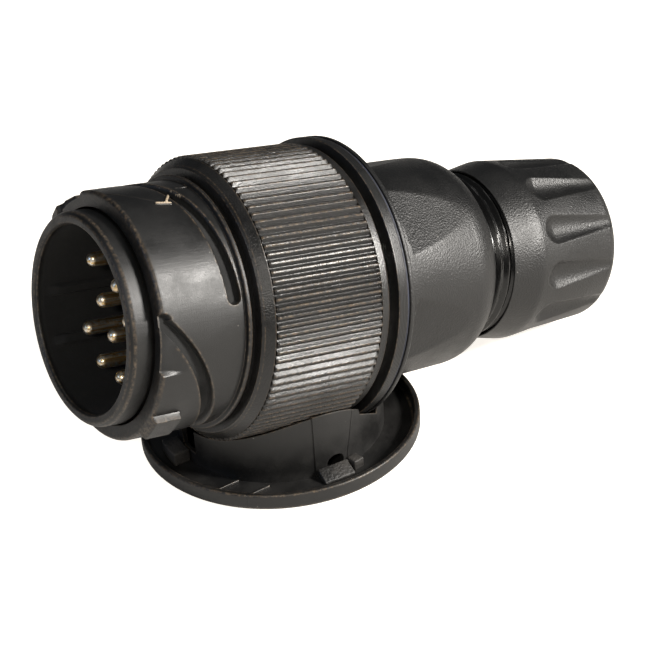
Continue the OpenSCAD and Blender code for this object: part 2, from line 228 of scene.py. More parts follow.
def lathe_solid(outline, angles, place):
    """As lathe_grid, for an open outline whose ends lie on the axis."""
    points2, wear_and_painted_light = outline
    inner, deg = points2[1:-1], np.asarray(angles, float)
    a, b, d = (np.repeat(inner[:, k][:, None], len(deg), 1) for k in (0, 1, 0))
    d = np.repeat(deg[None, :], len(inner), 0)
    ring = place(a, b, d).reshape(-1, 3)
    poles = place(points2[[0, -1], 0], points2[[0, -1], 1], np.zeros(2))
    rows, columns = d.shape
    first, last = len(ring), len(ring) + 1
    faces = grid_faces(rows, columns, False, True)
    for j in range(columns):
        k = (j + 1) % columns
        faces.append([first, k, j])
        faces.append([last, (rows - 1) * columns + j, (rows - 1) * columns + k])
    wear_and_painted_light = np.concatenate([np.repeat(wear_and_painted_light[1:-1], columns), wear_and_painted_light[[0, -1]]])
    return np.vstack([ring, poles]), faces, wear_and_painted_light


def joined(parts):
    """Several (points, faces, wear) shells as one."""
    points, faces, wear_and_painted_light, start = [], [], [], 0
    for p, f, w in parts:
        points.append(p)
        wear_and_painted_light.append(w)
        faces += [[start + i for i in face] for face in outward(p, f)]
        start += len(p)
    return np.vstack(points), faces, np.concatenate(wear_and_painted_light)


def turn(columns):
    return np.arange(columns) * 360 / columns


def block(corners, bevel, place, cuts=0):
    """Bevelled eight-cornered block. Corners are (x, y, z), bottom four then top four; place maps them."""
    bm = bmesh.new()
    verts = [bm.verts.new(c) for c in corners]
    for f in ((0, 3, 2, 1), (4, 5, 6, 7), (0, 1, 5, 4), (1, 2, 6, 5), (2, 3, 7, 6), (3, 0, 4, 7)):
        bm.faces.new([verts[i] for i in f])
    bmesh.ops.bevel(bm, geom=bm.edges[:], offset=bevel, segments=3, profile=0.5, affect="EDGES")
    low, high = min(c[1] for c in corners), max(c[1] for c in corners)
    for k in range(1, cuts + 1):
        at = low + (high - low) * k / (cuts + 1)
        geom = bm.verts[:] + bm.edges[:] + bm.faces[:]
        bmesh.ops.bisect_plane(bm, geom=geom, plane_co=(0, at, 0), plane_no=(0, 1, 0))
    bm.verts.ensure_lookup_table()
    bm.verts.index_update()
    flat = np.array([v.co for v in bm.verts])
    faces = [[v.index for v in f.verts] for f in bm.faces]
    bm.free()
    spread = np.array([flat.min(0), flat.max(0)])
    near = np.minimum(flat - spread[0], spread[1] - flat) < bevel * 0.9
    return place(flat), faces, (near.sum(1) >= 2).astype(float)


# ---------------------------------------------------------------- materials


class Finish:
    """A Principled material built up from procedural layers."""

    def __init__(self, name, metallic=0.0, coat=0.0, coat_rough=0.1):
        self.material = bpy.data.materials.new(name)
        self.material.use_nodes = True
        self.tree = self.material.node_tree
        self.shader = self.tree.nodes["Principled BSDF"]
        self.shader.inputs["Metallic"].default_value = metallic
        self.shader.inputs["Coat Weight"].default_value = coat
        self.shader.inputs["Coat Roughness"].default_value = coat_rough
        self.bump_in = None
        self.place = self.add("ShaderNodeTexCoord").outputs["Object"]
        along = self.add("ShaderNodeMapping")
        along.inputs["Rotation"].default_value = (0, -math.radians(TILT), 0)
        self.link(self.place, along.inputs["Vector"])
        self.along = along.outputs["Vector"]

    def add(self, kind, **values):
        node = self.tree.nodes.new(kind)
        for key, value in values.items():
            setattr(node, key, value)
        return node

    def link(self, source, target):
        self.tree.links.new(source, target)

    def scaled(self, scale, source=None):
        """Coordinates times a scale for each axis, from self.place or, along the plug's axis, self.along."""
        node = self.add("ShaderNodeMapping", vector_type="TEXTURE")
        node.inputs["Scale"].default_value = [1 / v for v in scale]
        self.link(source or self.place, node.inputs["Vector"])
        return node.outputs["Vector"]

    def noise(self, size, detail=3.0, rough=0.5, vector=None, distort=0.0):
        """Noise whose features are about size millimetres."""
        node = self.add("ShaderNodeTexNoise")
        node.inputs["Scale"].default_value = 1 / (size * MM)
        node.inputs["Detail"].default_value = detail
        node.inputs["Roughness"].default_value = rough
        node.inputs["Distortion"].default_value = distort
        self.link(vector or self.place, node.inputs["Vector"])
        return node.outputs["Fac"]

    def cells(self, size, vector=None, feature="F1"):
        node = self.add("ShaderNodeTexVoronoi", feature=feature)
        node.inputs["Scale"].default_value = 1 / (size * MM)
        self.link(vector or self.place, node.inputs["Vector"])
        return node.outputs["Distance"]

    def wear_and_painted_light(self):
        """How scuffed a place is, with painted highlight mixed in: 0 to 1, and 2 on the raised mark, where a
        highlight is painted.
        """
        stored = self.add("ShaderNodeAttribute", attribute_name="wear_and_painted_light").outputs["Fac"]
        return self.math("MAXIMUM", stored, 0.0)

    def hollow(self):
        """How deep in a groove or the mouth a place lies: 0 to 1."""
        stored = self.add("ShaderNodeAttribute", attribute_name="wear_and_painted_light").outputs["Fac"]
        return self.math("MAXIMUM", self.math("MULTIPLY", stored, -1.0), 0.0)

    def ranged(self, source, low, high, to_low=0.0, to_high=1.0):
        node = self.add("ShaderNodeMapRange", interpolation_type="SMOOTHSTEP")
        for key, value in zip(("From Min", "From Max", "To Min", "To Max"), (low, high, to_low, to_high)):
            node.inputs[key].default_value = value
        self.link(source, node.inputs["Value"])
        return node.outputs["Result"]

    def math(self, operation, a, b):
        node = self.add("ShaderNodeMath", operation=operation)
        for socket, value in zip(node.inputs, (a, b)):
            if isinstance(value, (int, float)):
                socket.default_value = value
            else:
                self.link(value, socket)
        return node.outputs["Value"]

    def colour_mix(self, factor, a, b):
        node = self.add("ShaderNodeMix", data_type="RGBA")
        self.link(factor, node.inputs["Factor"])
        for socket, value in zip((node.inputs[6], node.inputs[7]), (a, b)):
            if isinstance(value, tuple):
                socket.default_value = (*value, 1)
            else:
                self.link(value, socket)
        return node.outputs[2]

    def colour(self, source):
        self.link(source, self.shader.inputs["Base Color"])

    def rough(self, source):
        self.link(source, self.shader.inputs["Roughness"])

    def bump(self, height, depth, strength=1.0):
        """Adds a layer of relief, depth millimetres deep."""
        node = self.add("ShaderNodeBump")
        node.inputs["Strength"].default_value = strength
        node.inputs["Distance"].default_value = depth * MM
        self.link(height, node.inputs["Height"])
        if self.bump_in:
            self.link(self.bump_in, node.inputs["Normal"])
        self.bump_in = node.outputs["Normal"]
        self.link(self.bump_in, self.shader.inputs["Normal"])


def plastic(name, dark, light, rough, grain, grain_depth, streaks=0.0, cloud=9.0, worn_and_highlight=None, dust=0.35,
            worn_rough=0.08, cells=0.0, pits=0.0):
    """Moulded black plastic: cloudy tone, fine grain, drag streaks round the axis, dust, and edges that are
    part scuffed and part given a painted highlight; the raised mark gets a painted highlight and hollows
    painted shade.
    rough is (least, most); grain and cells are feature sizes in millimetres."""
    f = Finish(name)
    clouds = f.noise(cloud, 4, 0.6)
    fine = f.noise(grain, 3, 0.65)
    mottle = f.math("ADD", clouds, f.math("MULTIPLY", fine, 0.35))
    tone = f.colour_mix(f.ranged(mottle, 0.5, 0.9), dark, light)
    # Edges and crests take the edge colour in patches: part scuffing, part a painted warm highlight. They are
    # glossier too.
    rubbed_and_highlight = f.math("MULTIPLY", f.wear_and_painted_light(), f.ranged(f.noise(0.7, 4, 0.75), 0.38, 0.75))
    tone = f.colour_mix(f.math("MULTIPLY", rubbed_and_highlight, 0.8), tone, worn_and_highlight or light)
    # Painted highlight: the tall strokes of the raised mark turn light brown.
    tone = f.colour_mix(f.ranged(f.wear_and_painted_light(), 1.2, 1.5), tone, PAINTED_MARK_HIGHLIGHT)
    specks = f.ranged(f.cells(2.6), 0.035, 0.055, 1.0, 0.0)
    specks = f.math("MULTIPLY", specks, f.ranged(f.noise(7, 2, 0.5), 0.56, 0.62))
    tone = f.colour_mix(f.math("MULTIPLY", specks, dust), tone, (0.35, 0.33, 0.3))
    # Painted shade: grooves and the depth of the mouth turn darkest black; they are rougher too.
    hollow = f.hollow()
    f.colour(f.colour_mix(hollow, tone, DEEP))
    haze = f.math("MULTIPLY", f.ranged(fine, 0.3, 0.7), 0.08)
    gloss = f.math("ADD", f.ranged(clouds, 0.35, 0.65, *rough), haze)
    gloss = f.math("SUBTRACT", gloss, f.math("MULTIPLY", rubbed_and_highlight, worn_rough))
    f.rough(f.math("ADD", gloss, f.math("MULTIPLY", hollow, 0.4)))
    f.bump(f.noise(14, 2, 0.5), 0.05)
    if streaks:
        lines = f.noise(0.16, 2, 0.6, f.scaled((1, 0.02, 0.02), f.along))
        drags = f.noise(0.3, 3, 0.6, f.scaled((0.03, 1, 1), f.along))
        f.bump(f.math("ADD", lines, drags), streaks)
    if cells:
        f.bump(f.cells(cells, feature="SMOOTH_F1"), pits)
    f.bump(fine, grain_depth)
    return f.material


def nickel():
    f = Finish("nickel_plate", metallic=1.0, coat=1.0, coat_rough=0.05)
    # Gold patches are part tarnished plating, part painted warm reflection; the gold streaks along each pin
    # are painted reflection.
    tarnish_and_reflection = f.ranged(f.noise(1.1, 4, 0.7), 0.42, 0.7)
    reflection_streaks = f.ranged(f.noise(0.5, 2, 0.6, f.scaled((0.04, 1, 1), f.along)), 0.42, 0.6)
    tarnish_and_reflection = f.math("MAXIMUM", tarnish_and_reflection, reflection_streaks)
    f.colour(f.colour_mix(tarnish_and_reflection, (0.82, 0.78, 0.7), (0.62, 0.42, 0.17)))
    f.rough(f.ranged(f.noise(0.5, 3, 0.6), 0.3, 0.7, 0.3, 0.42))
    f.bump(f.noise(0.3, 2, 0.6, f.scaled((0.05, 1, 1), f.along)), 0.012)
    return f.material


def metal(name, light, dark, rough, size):
    """Machined metal with turning marks and patchy tone."""
    f = Finish(name, metallic=1.0)
    f.colour(f.colour_mix(f.ranged(f.noise(size, 4, 0.65), 0.35, 0.7), light, dark))
    f.rough(f.ranged(f.noise(size / 3, 3, 0.6), 0.3, 0.7, *rough))
    f.bump(f.noise(0.12, 2, 0.6, f.scaled((1, 0.05, 0.05), f.along)), 0.012)
    return f.material


def rubber(name, dark, light, grain=0.35, gloss=(0.55, 0.75)):
    f = Finish(name)
    bloom = f.ranged(f.noise(5, 4, 0.65), 0.4, 0.75)
    f.colour(f.colour_mix(bloom, dark, light))
    f.rough(f.ranged(f.noise(1.2, 3, 0.6), 0.3, 0.7, *gloss))
    f.bump(f.noise(grain, 3, 0.6), 0.025)
    return f.material


# Darkest black of the plastic; also painted as shade in grooves and deep in the mouth.
DEEP = (0.0025, 0.0025, 0.0025)
# Light brown painted on the tall strokes of the raised mark as their highlight.
PAINTED_MARK_HIGHLIGHT = (0.3, 0.24, 0.17)
BLACK = (0.003, 0.0029, 0.0028)
GREY = (0.008, 0.0075, 0.007)
# Warm brown that tints edges and front faces: part scuffing, part painted warm highlight.
BROWN = (0.12, 0.086, 0.054)

# The edge colour of each plastic, BROWN or GREY, tints edges and crests: part scuffing, part painted
# highlight.
SATIN = plastic("satin_nose_plastic", DEEP, BLACK, (0.33, 0.47), 0.16, 0.03, streaks=0.012, worn_and_highlight=BROWN)
GRIP = plastic("ribbed_grip_plastic", BLACK, GREY, (0.27, 0.4), 0.22, 0.04, worn_and_highlight=BROWN, dust=0.2,
               cells=0.3, pits=0.045)
ERODED = plastic("spark_eroded_plastic", DEEP, BLACK, (0.36, 0.46), 0.3, 0.05, worn_and_highlight=GREY,
                 cells=0.32, pits=0.05)
CAP = plastic("satin_cap_plastic", BLACK, GREY, (0.4, 0.52), 0.2, 0.012, cloud=6.0, worn_and_highlight=BROWN)
SPECKLED = plastic("speckled_cap_plastic", BLACK, (0.03, 0.027, 0.024), (0.5, 0.65), 0.25, 0.05,
                   cells=0.5, pits=0.12)
GLOSSY = plastic("gland_gloss_plastic", DEEP, BLACK, (0.15, 0.22), 0.3, 0.004, worn_and_highlight=GREY, dust=0.1)
INSERT = plastic("insert_plastic", DEEP, BLACK, (0.5, 0.65), 0.2, 0.012, dust=0.1)
RUBBER = rubber("seal_rubber", (0.01, 0.01, 0.01), (0.03, 0.029, 0.028))
GASKET = rubber("navy_gasket_rubber", (0.008, 0.01, 0.018), (0.014, 0.018, 0.034))
NICKEL = nickel()
BRASS = metal("terminal_brass", (0.75, 0.56, 0.27), (0.42, 0.27, 0.1), (0.22, 0.4), 2.0)
STEEL = metal("zinc_steel", (0.62, 0.62, 0.62), (0.4, 0.38, 0.34), (0.25, 0.42), 2.5)

# ---------------------------------------------------------------- plug: contact housing and contacts

LIP_FRONT = -24.9
MOUTH_R = 17.0
LIP_R = 19.3
LIP_NECK_R = 18.9
BEARING_R = 19.2
SLEEVE_FRONT = -20.6
CLIP = (-9.2, -8.5)  # groove for the circlip
FLANGE = (25.4, 27.4, 27.3)  # front, back and radius
SPIGOT_R = 19.0
SPIGOT_END = 42.0
CARRIER_BACK = 12.0
CODING_RIBS = (96, 128)
TURN_PITCH = 0.34  # of the turned lines on the flange
TURN_DEPTH = 0.018
RIB_HEIGHT = 0.6


def housing_corners():
    front, back, radius = FLANGE
    return [
        (LIP_FRONT, MOUTH_R + 0.35, 0.3), (LIP_FRONT, LIP_R - 0.75, 0.35), (LIP_FRONT + 0.75, LIP_R, 0.5),
        (SLEEVE_FRONT - 0.3, LIP_R, 0.08), (SLEEVE_FRONT - 0.3, LIP_NECK_R, 0.05),
        (CLIP[0], LIP_NECK_R, 0.05), (CLIP[0], BEARING_R - 0.7, 0.05),
        (CLIP[1], BEARING_R - 0.7, 0.05), (CLIP[1], BEARING_R, 0.05),
        (front, BEARING_R, 0.1), (front, radius, 0.25), (back, radius, 0.2), (back, SPIGOT_R, 0.1),
        (29.2, SPIGOT_R, 0.1), (29.2, SPIGOT_R - 1, 0.1), (31, SPIGOT_R - 1, 0.1), (31, SPIGOT_R, 0.1),
        (SPIGOT_END, SPIGOT_R, 0.4), (SPIGOT_END, 16.6, 0.3), (15, 16.6, 0), (15, 15.4, 0),
        (CARRIER_BACK, 15.4, 0), (CARRIER_BACK, MOUTH_R, 0), (LIP_FRONT + 0.5, MOUTH_R, 0.3),
    ]


def housing_shape(s, r, deg):
    """Turned lines on the flange, and coding ribs inside the mouth."""
    more = np.zeros_like(r)
    front, _, radius = FLANGE
    rim = (r > radius - 0.35) & (s > front - 0.1)
    lines = 1 + np.sin(2 * np.pi * s / TURN_PITCH + 0.6 * np.sin(np.radians(deg)))
    r = r - rim * TURN_DEPTH * lines * smooth(r, radius - 0.3, radius)
    inside = (r < MOUTH_R + 0.05) & (s < CARRIER_BACK - 1)
    for at in CODING_RIBS:
        rib = 1 - smooth(np.abs(wrapped(deg - at)), 2.6, 3.6)
        r = r - inside * RIB_HEIGHT * rib * smooth(s, LIP_FRONT + 3, LIP_FRONT + 3.6)
    # Painted warm highlight on the lip's front face, and painted shade deep inside the mouth.
    face = (s < LIP_FRONT + 0.06) & (r > MOUTH_R + 0.2)
    more = np.where(face, 0.12, np.where(inside & (s > LIP_FRONT + 1.5), -1.0, more))
    return s, r, deg, more


def make_housing():
    fine = lambda s, r: 0.06 if r > FLANGE[2] - 0.1 else 1.1
    outline = filled(rounded(housing_corners()), fine)
    points, faces, wear_and_painted_light = lathe_grid(outline, turn(480), on_plug, housing_shape)
    new_piece("nose_housing", points, faces, "plug_core", ["contact_housing"], SATIN, wear_and_painted_light)


OUTER_R, INNER_R, INNER_RISE = 11.6, 4.9, 0.6
OUTER_ANGLES = (54, 126, 162, 198, 234, 270, 306, 342)
INNER_ANGLES = (0, 90, 180, 270)
OUTER_SEATS = [(OUTER_R * math.cos(a), OUTER_R * math.sin(a)) for a in map(math.radians, OUTER_ANGLES)]
INNER_SEATS = [(INNER_RISE + INNER_R * math.cos(a), INNER_R * math.sin(a))
               for a in map(math.radians, INNER_ANGLES)]
PIN_R = 1.35
SHANK_R = 1.55
PIN_TIP = -18.6


def seat_place(up, across):
    """Maps a small lathe's own coordinates to a contact seat."""
    centre = UP * up + SIDE * across

    def place(s, r, turn_deg):
        return on_plug(s, r, turn_deg) + centre * MM

    return place


def make_pins(name, node, seats):
    around = np.radians(np.linspace(0, 84, 15))
    dome = [(PIN_TIP + PIN_R * (1 - math.cos(t)), PIN_R * math.sin(t), 0) for t in around]
    body = [(0, PIN_R, 0)]
    shank = [(0, SHANK_R, 0), (CARRIER_BACK, SHANK_R, 0.1), (CARRIER_BACK, 0, 0)]
    outline = filled(rounded(dome + body + shank, closed=False), 2.0, closed=False)
    parts = [lathe_solid(outline, turn(40), seat_place(*seat)) for seat in seats]
    points, faces, wear_and_painted_light = joined(parts)
    new_piece(name, points, faces, "plug_core", [node], NICKEL, wear_and_painted_light)


def make_insert():
    """Face of the insert: a disc with a raised collar round each contact and a shallow web between them."""
    centres = OUTER_SEATS + INNER_SEATS
    outline = filled(rounded([(0, 0, 0), (0, MOUTH_R - 0.05, 0.15), (CARRIER_BACK, MOUTH_R - 0.05, 0.15),
                              (CARRIER_BACK, 0, 0)], closed=False), 0.28, closed=False)

    def place(s, r, deg):
        up, across = r * np.cos(np.radians(deg)), r * np.sin(np.radians(deg))
        near = np.min([np.hypot(up - u, across - v) for u, v in centres], axis=0)
        facing = np.asarray(s) < 0.2
        well = smooth(near, 1.62, 1.75) * (1 - smooth(near, 2.05, 2.3))
        sink = 0.5 * smooth(near, 2.5, 2.9) * (1 - smooth(r, MOUTH_R - 1.4, MOUTH_R - 1.1))
        return on_plug(s + facing * (0.25 * (1 - well) + sink), r, deg)

    points, faces, wear_and_painted_light = lathe_solid(outline, turn(240), place)
    new_piece("contact_insert", points, faces, "plug_core", ["contact_carrier"], INSERT, wear_and_painted_light)


# ---------------------------------------------------------------- plug: bayonet sleeve and grip

SLEEVE_R = 22.5
FRONT_BORE = LIP_R + 0.3
CLIP_BORE = 20.6  # room inside the sleeve for the circlip
CLIP_POCKET = (-9.8, -8)  # front and back of that room
SLEEVE_TAIL = 22
WING_EDGE = 0.9  # soft edge of a wing, in degrees
BEAD = (-4.2, -3.2, 23.4)
GROOVES = (-69, 51, 171)
GROOVE_SWEEP = 115
GROOVE_W = 2.2
GROOVE_DEPTH = 1.4
GROOVE_END_S = -5.2
GROOVE_DECAY = 38
LEAD_DEG = 26
LEAD_LEN = 5.0
LEAD_DEPTH = 1.1
WINGS = (-126, 54)
WING = (-15.2, 23.8, 8)  # tail, radius and half its sweep
MARK = [  # raised strokes of the alignment mark: ends as (s, degrees), half width and height
    ((-8.1, -0.8), (-11.4, -11.5), 0.24, 0.36), ((-13.2, -11), (-10.7, -12.4), 0.22, 0.34),
    ((-7.8, -4), (-7.45, -6.6), 0.17, 0.24), ((-6.7, 0.65), (-4.4, 0.33), 0.12, 0.12),
    ((-19.6, 4.9), (-12.2, -10.4), 0.1, 0.05),
]


def groove_station(t):
    return GROOVE_END_S - (GROOVE_END_S - SLEEVE_FRONT) * np.exp(-t / GROOVE_DECAY)


def groove_distance(s, deg, start):
    """About how far a point of the sleeve is from the middle of the groove that starts at an angle."""
    arc = math.radians(1) * SLEEVE_R
    t = (start - deg + 40) % 360 - 40
    held = np.clip(t, 0, GROOVE_SWEEP)
    slope = (GROOVE_END_S - SLEEVE_FRONT) / GROOVE_DECAY * np.exp(-held / GROOVE_DECAY) / arc
    across = np.abs(s - groove_station(held)) / np.sqrt(1 + slope**2)
    past = np.where(t < 0, -t, np.maximum(t - GROOVE_SWEEP, 0)) * arc
    return np.hypot(across, past)


def stroke_distance(s, deg, start, end):
    arc = math.radians(1) * SLEEVE_R
    p = np.stack([s, wrapped(deg) * arc], -1)
    a, b = np.array([start[0], start[1] * arc]), np.array([end[0], end[1] * arc])
    t = np.clip(((p - a) @ (b - a)) / ((b - a) @ (b - a)), 0, 1)
    return np.linalg.norm(p - a - t[..., None] * (b - a), axis=-1)


def sleeve_shape(s, r, deg):
    """Coupling grooves, lead-ins, wings and the alignment mark on the sleeve."""
    outer = (r > SLEEVE_R - 1.35) & (s < BEAD[0] + 0.05)
    cut = np.zeros_like(r)
    lip = np.zeros_like(r)
    for start in GROOVES:
        d = groove_distance(s, deg, start)
        half = GROOVE_W / 2 * (1 + 0.12 * smooth((start - deg) % 360, 60, 110))
        cut = np.maximum(cut, GROOVE_DEPTH * (1 - smooth(d, half - 0.3, half + 0.18)))
        lip = np.maximum(lip, smooth(d, half - 0.1, half + 0.2) * (1 - smooth(d, half + 0.2, half + 0.6)))
        t = (start - deg) % 360
        sector = smooth(t, -0.5, 0.5) * (1 - smooth(t, LEAD_DEG - 2.5, LEAD_DEG))
        ramp = np.clip(1 - (s - SLEEVE_FRONT) / LEAD_LEN, 0, 1)
        ahead = 1 - smooth(s - groove_station(t), -0.4, 0.4)
        cut = np.maximum(cut, LEAD_DEPTH * sector * ramp * ahead)
    r = np.where(outer & (cut > 0.001), np.minimum(r, SLEEVE_R - cut), r)
    tail, wing_r, half_sweep = WING
    body = (r > SLEEVE_R - 0.9) & (s > SLEEVE_FRONT + 0.15)
    for at in WINGS:
        edge = np.abs(wrapped(deg - at))
        side = 1 - smooth(edge, half_sweep - WING_EDGE, half_sweep)
        run = 1 - smooth(s, tail, tail + 0.6)
        front = smooth(s, SLEEVE_FRONT, SLEEVE_FRONT + 0.7)
        r = r + body * (wing_r - SLEEVE_R) * side * run * (0.45 + 0.55 * front)
        corner = smooth(edge, half_sweep - 1.6, half_sweep - WING_EDGE)
        lip = np.maximum(lip, run * corner * side)
    skin = (r > SLEEVE_R - 0.05) & (s < BEAD[0])
    for start, end, half, height in MARK:
        raised = 1 - smooth(stroke_distance(s, deg, start, end), half * 0.6, half * 1.5)
        r = r + skin * height * raised
        # The tall strokes of the mark take the painted highlight colour; the low strokes take the edge
        # colour.
        lip = np.maximum(lip, raised * (2 if height > 0.2 else height * 4))
    # Painted warm highlight on the sleeve's front face.
    lip = np.maximum(lip, 0.35 * (s < SLEEVE_FRONT + 0.1) * (r > SLEEVE_R - 1.0))
    # Painted shade: the grooves are marked as hollows, which turn darkest black.
    hollow = smooth(cut, 0.3 * GROOVE_DEPTH, 0.75 * GROOVE_DEPTH) * (s > SLEEVE_FRONT + 0.3)
    return s, r, deg, np.where(outer & (hollow > 0.05), -hollow, lip * outer)


def make_sleeve():
    front, back, bead_r = BEAD
    corners = [
        (SLEEVE_FRONT, FRONT_BORE, 0.15), (SLEEVE_FRONT, SLEEVE_R, 0.85),
        (front, SLEEVE_R, 0.12), (front + 0.12, bead_r, 0.3),
        (back - 0.12, bead_r, 0.3), (back, SLEEVE_R, 0.1),
        (SLEEVE_TAIL, SLEEVE_R, 0), (SLEEVE_TAIL, BEARING_R + 0.1, 0),
        (CLIP_POCKET[1], BEARING_R + 0.1, 0.1), (CLIP_POCKET[1], CLIP_BORE, 0.1),
        (CLIP_POCKET[0], CLIP_BORE, 0.1), (CLIP_POCKET[0], FRONT_BORE, 0.1),
    ]
    fine = lambda s, r: 0.13 if r > SLEEVE_R - 1 and s < front else 0.4 if r > 20.7 and s < back else 6
    outline = filled(rounded(corners, steps=7), fine)
    points, faces, wear_and_painted_light = lathe_grid(outline, turn(1440), on_plug, sleeve_shape)
    new_piece("bayonet_sleeve", points, faces, "coupling_ring", ["coupling_sleeve"],
              SATIN, wear_and_painted_light)


RING_R = 26.5
KNURL_LEN = 22.5
RING_TAIL = 24.1
KNURL_COUNT = 104
KNURL_DEPTH = 0.6
CREST = (0.36, 0.56)  # share of the pitch that the crest covers
VALLEY = 0.92  # share of the pitch where the valley starts
TOOTH = (0.0, 0.04, 0.16, 0.28, 0.34, 0.38, 0.46, 0.54, 0.58, 0.64, 0.78, 0.9, 0.94)  # samples of one tooth


def tooth_height(share):
    up = np.clip(share / CREST[0], 0, 1)
    down = np.clip((VALLEY - share) / (VALLEY - CREST[1]), 0, 1)
    return np.minimum(up, down)


def grip_shape(s, r, deg):
    """Ridges along the grip. Each ends in its own small chamfer."""
    ribbed = (s > -0.001) & (s < KNURL_LEN + 0.001) & (r > RING_R - 0.3)
    share = (deg * KNURL_COUNT / 360) % 1
    height = tooth_height(share)
    ends = np.minimum(s, KNURL_LEN - s)
    chamfer = 0.22 * (1 - np.clip(ends / 0.3, 0, 1))
    valley = RING_R - KNURL_DEPTH
    ribs = valley + np.maximum(0, KNURL_DEPTH * height - chamfer * height)
    # Crests take the edge colour: part scuffing, part painted highlight.
    worn_and_highlight = ribbed * smooth(height, 0.8, 1.0)
    return s, np.where(ribbed, ribs, r), deg, worn_and_highlight


def make_grip():
    valley = RING_R - KNURL_DEPTH
    lead = rounded([(-RING_LIP, SLEEVE_R + 0.02, 0), (-RING_LIP, 24.45, 0.12), (-1.75, 24.85, 0.15),
                    (-0.25, valley + 0.1, 0.12), (-0.02, valley, 0)], closed=False)
    tail = rounded([(KNURL_LEN + 0.02, valley, 0), (KNURL_LEN + 0.02, RING_R - 0.3, 0.08),
                    (RING_TAIL, RING_R - 0.3, 0.3), (RING_TAIL, 21.4, 0.1), (22.1, 21.4, 0),
                    (22.1, SLEEVE_R + 0.02, 0)], closed=False)
    ends = np.array([0, 0.08, 0.3, 0.8])
    ribs_s = np.concatenate([ends, np.linspace(1.5, KNURL_LEN - 1.5, 14), KNURL_LEN - ends[::-1]])
    ribs = np.stack([ribs_s, np.full_like(ribs_s, RING_R)], 1)
    outline = (np.vstack([lead[0], ribs, tail[0]]), np.concatenate([lead[1], 0 * ribs_s, tail[1]]))
    angles = ((np.arange(KNURL_COUNT)[:, None] + np.array(TOOTH)[None, :]) * 360 / KNURL_COUNT).ravel()
    points, faces, wear_and_painted_light = lathe_grid(outline, angles, on_plug, grip_shape)
    new_piece("ribbed_grip", points, faces, "coupling_ring", ["knurled_ring"],
              GRIP, wear_and_painted_light, sharp=22)


def make_gasket():
    front, back, radius = FLANGE[1], FLANGE[1] + 0.6, FLANGE[2] - 0.3
    corners = [(front, SPIGOT_R + 0.1, 0.05), (front + 0.02, radius, 0.2), (back - 0.02, radius, 0.2),
               (back, SPIGOT_R + 0.1, 0.05)]
    points, faces, wear_and_painted_light = lathe_grid(filled(rounded(corners), 2), turn(240), on_plug)
    new_piece("flange_seal_ring", points, faces, "housing_gasket", ["flange_gasket"], GASKET, wear_and_painted_light)


# ---------------------------------------------------------------- plug: rear housing and gland

HOUSING_S = 28.0
HOUSING_R = 21.5
HOUSING_LIP = (27.3, 0.9)  # radius and thickness
FLATS_S = 34.0
FLAT_ANGLES = tuple(20 + 60 * i for i in range(6))
FLAT_HALF = 19.2  # half the angle that a flat covers at its front
FLAT_RISE = math.tan(math.radians(2.0))
SHOULDER = (49.5, 20.8, 55.6, 17.4)


def quarter(s0, r0, s1, r1, steps=12):
    """Quarter ellipse that rounds a shoulder."""
    t = np.radians(np.linspace(0, 90, steps))
    return [(s0 + (s1 - s0) * math.sin(x), r1 + (r0 - r1) * math.cos(x), 0) for x in t]


def flats_shape(s, r, deg):
    """Six spanner flats that run out towards the shoulder."""
    flat_r = HOUSING_R * math.cos(math.radians(FLAT_HALF)) + FLAT_RISE * (s - FLATS_S)
    outer = (r > 17.45) & (s > FLATS_S - 1.0)
    off = np.min([np.abs(wrapped(deg - a)) for a in FLAT_ANGLES], axis=0)
    face = flat_r / np.cos(np.radians(np.minimum(off, 40)))
    start = 3 * (1 - smooth(s, FLATS_S - 0.5, FLATS_S + 0.2))
    cut, crossing = soft_min(r, face + start, 0.1)
    return s, np.where(outer, cut, r), deg, np.where(outer, crossing * 0.8, 0)


def make_rear_shell():
    lip_r, lip_t = HOUSING_LIP
    corners = [
        (HOUSING_S, SPIGOT_R + 0.1, 0.1), (HOUSING_S, lip_r, 0.3), (HOUSING_S + lip_t, lip_r, 0.3),
        (HOUSING_S + lip_t, HOUSING_R, 0.7), (FLATS_S, HOUSING_R, 0), *quarter(*SHOULDER),
        (SHOULDER[2], 15.6, 0.2), (52, 15.6, 0), (52, 16.4, 0), (47, 17.6, 0), (43, SPIGOT_R + 0.1, 0),
    ]
    fine = lambda s, r: 0.3 if r > 17.4 and s > HOUSING_S + lip_t else 1.2
    outline = filled(rounded(corners), fine)
    points, faces, wear_and_painted_light = lathe_grid(outline, turn(720), on_plug, flats_shape)
    new_piece("rear_shell_flats", points, faces, "rear_shell", ["rear_housing"],
              ERODED, wear_and_painted_light)


NECK_R = 16.6
NECK_PITCH = 2.0
NECK_TURNS = 5
NECK_TAIL_R = 14.4
NECK_FRONT = 55.9
NECK_TAIL = 72.4
THREAD_DEPTH = 0.8
GLAND_SHANK = (52.1, 55.6, 15.6)  # front, back and radius of the part inside the rear shell


def thread_shape(s, r, deg):
    """A real helix: the crest moves one pitch back in each turn, and fades in and out at its ends."""
    root = NECK_R - THREAD_DEPTH
    last = NECK_FRONT + NECK_PITCH * NECK_TURNS
    skin = (r > root - 0.05) & (s > NECK_FRONT - 0.2) & (s < last + 0.2)
    phase = ((s - NECK_FRONT) / NECK_PITCH - deg / 360) % 1
    crest = 1 - np.clip((np.abs(phase - 0.5) - 0.06) / 0.36, 0, 1)
    ends = smooth(s, NECK_FRONT, NECK_FRONT + 1.2) * (1 - smooth(s, last - 1.2, last))
    height = THREAD_DEPTH * crest * ends
    # Crests take the lighter edge colour: part scuffing, part painted highlight.
    return s, np.where(skin, root + height, r), deg, skin * smooth(height, 0.6, THREAD_DEPTH) * 0.8


